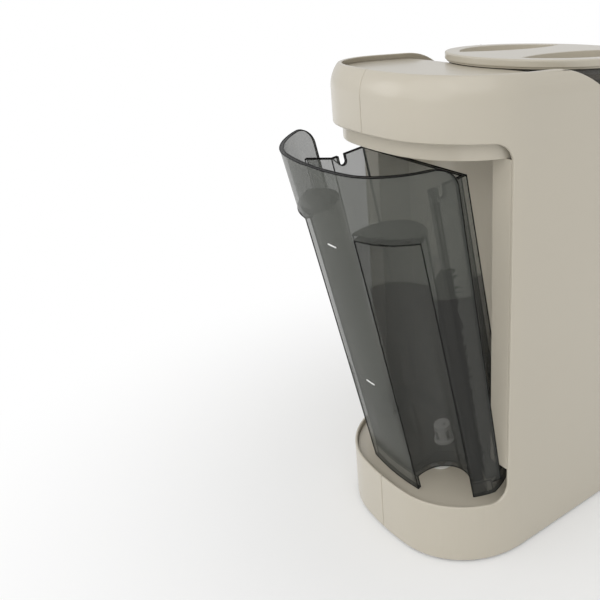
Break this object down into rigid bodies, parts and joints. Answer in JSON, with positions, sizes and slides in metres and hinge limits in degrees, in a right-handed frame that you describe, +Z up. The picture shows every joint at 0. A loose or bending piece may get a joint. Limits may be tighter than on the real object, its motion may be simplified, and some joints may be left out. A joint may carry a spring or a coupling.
{
  "type": "baby formula maker",
  "caption": "Countertop baby formula maker: lidded powder hopper with dosing wheel, tilting lift-off water tank, open bottle recess with drip tray and mixing funnel, button panel.",
  "frame": {"origin": "middle of the footprint of the whole object with its tank leaning out, on the worktop under the rubber feet", "axes": "+Z up; +Y towards the rear, where the water tank stands; -Y towards the front, with the bottle recess; +X towards the side that holds the mains switch"},
  "size_m": [0.146, 0.2572, 0.3037],
  "materials": {
    "housing_plastic": "glossy greige moulding",
    "inner_plastic": "satin greige-grey moulding",
    "smoke_clear": "clear smoke-grey moulding",
    "dark_smoke": "clear dark smoke moulding",
    "white_plastic": "natural white moulding",
    "gear_plastic": "natural acetal",
    "dark_plastic": "black moulding",
    "panel_gloss": "gloss black fascia",
    "button_plastic": "glossy greige moulding",
    "display_glass": "smoked window",
    "circuit_board": "green solder mask",
    "rubber": "matt black rubber",
    "silicone": "translucent silicone",
    "steel": "bright steel",
    "heater_metal": "cast aluminium"
  },
  "bodies": {
    "machine": {"left_housing": "housing_plastic", "right_housing": "housing_plastic", "bottom_cover": "inner_plastic", "base_screws": "steel", "rubber_feet": "rubber", "tank_tray": "housing_plastic", "tank_socket": "inner_plastic", "socket_seal": "silicone", "tank_bay_liner": "housing_plastic", "bay_collar": "housing_plastic", "top_deck": "housing_plastic", "hopper_seat": "inner_plastic", "drive_plate": "inner_plastic", "gear_motor": "steel", "powder_chute": "inner_plastic", "water_nozzle": "white_plastic", "bottle_bay_liner": "housing_plastic", "base_deck": "housing_plastic", "control_panel": "panel_gloss", "display_window": "display_glass", "display_module": "dark_plastic", "control_board": "circuit_board", "board_pillars": "dark_plastic", "tact_switches": "dark_plastic", "switch_frame": "dark_plastic", "cord_gland": "dark_plastic", "chassis": "inner_plastic", "pump_cradles": "rubber", "water_pump": "dark_plastic", "water_heater": "heater_metal", "heater_bracket": "steel", "thermal_cutout": "steel", "power_board": "circuit_board", "board_spacers": "white_plastic", "tank_hose": "silicone", "heater_hose": "silicone", "outlet_hose": "silicone"},
    "water_tank": {"water_tank": "smoke_clear", "valve_cage": "white_plastic", "valve_seal": "silicone", "valve_spring": "steel"},
    "valve_plunger": {"valve_plunger": "white_plastic"},
    "hopper": {"powder_hopper": "dark_smoke", "scraper_plate": "white_plastic"},
    "dosing_rotor": {"dosing_wheel": "white_plastic", "hopper_spindle": "white_plastic", "agitator": "white_plastic"},
    "lid": {"hopper_lid": "housing_plastic", "lid_seal": "silicone"},
    "drive": {"drive_gear": "gear_plastic", "shaft_clip": "steel"},
    "pinion": {"motor_pinion": "gear_plastic"},
    "funnel": {"mixing_funnel": "housing_plastic"},
    "drip_tray": {"drip_tray": "dark_plastic"},
    "drip_grate": {"drip_grate": "dark_plastic"},
    "power_button": {"power_button": "button_plastic"},
    "volume_button": {"volume_button": "button_plastic"},
    "warmth_button": {"warmth_button": "button_plastic"},
    "start_button": {"start_button": "button_plastic"},
    "rocker": {"power_rocker": "dark_plastic"}
  },
  "joints": [
    {"name": "tank_tilt", "type": "hinge", "parent": "machine", "child": "water_tank", "pos_m": [0, 0.0862, 0.0729], "axis": [-1, 0, 0], "range_deg": [-10.54, 0]},
    {"name": "valve_lift", "type": "slide", "parent": "water_tank", "child": "valve_plunger", "axis": [0, 0.1829, 0.9831], "range_m": [0, 0.003], "deforming": ["valve_spring"]},
    {"name": "hopper_lift", "type": "slide", "parent": "machine", "child": "hopper", "axis": [0, 0, 1], "range_m": [0, 0.08]},
    {"name": "lid_lift", "type": "slide", "parent": "hopper", "child": "lid", "axis": [0, 0, 1], "range_m": [0, 0.05]},
    {"name": "dosing_spin", "type": "hinge", "parent": "hopper", "child": "dosing_rotor", "pos_m": [0, -0.0445, 0.235], "axis": [0, 0, 1], "continuous": true},
    {"name": "drive_spin", "type": "hinge", "parent": "machine", "child": "drive", "pos_m": [0, -0.0445, 0.217], "axis": [0, 0, 1], "continuous": true},
    {"name": "pinion_spin", "type": "hinge", "parent": "machine", "child": "pinion", "pos_m": [0, -0.01, 0.217], "axis": [0, 0, 1], "continuous": true},
    {"name": "funnel_slide", "type": "slide", "parent": "machine", "child": "funnel", "axis": [0, -1, 0], "range_m": [0, 0.08]},
    {"name": "drip_tray_lift", "type": "slide", "parent": "machine", "child": "drip_tray", "axis": [0, 0, 1], "range_m": [0, 0.04]},
    {"name": "grate_lift", "type": "slide", "parent": "drip_tray", "child": "drip_grate", "axis": [0, 0, 1], "range_m": [0, 0.03]},
    {"name": "power_press", "type": "slide", "parent": "machine", "child": "power_button", "axis": [0, 1, 0], "range_m": [0, 0.0009], "stiffness_N_per_m": 400},
    {"name": "volume_press", "type": "slide", "parent": "machine", "child": "volume_button", "axis": [0, 1, 0], "range_m": [0, 0.0009], "stiffness_N_per_m": 400},
    {"name": "warmth_press", "type": "slide", "parent": "machine", "child": "warmth_button", "axis": [0, 1, 0], "range_m": [0, 0.0009], "stiffness_N_per_m": 400},
    {"name": "start_press", "type": "slide", "parent": "machine", "child": "start_button", "axis": [0, 1, 0], "range_m": [0, 0.0009], "stiffness_N_per_m": 400},
    {"name": "rocker_swing", "type": "hinge", "parent": "machine", "child": "rocker", "pos_m": [0.0683, -0.0179, 0.062], "axis": [0, -1, 0], "range_deg": [0, 12]}
  ],
  "couplings": [
    {"joint": "valve_lift", "follows": "tank_tilt", "m_per_rad": -0.016308},
    {"joint": "drive_spin", "follows": "dosing_spin", "ratio": 1},
    {"joint": "pinion_spin", "follows": "dosing_spin", "ratio": -3.6}
  ]
}
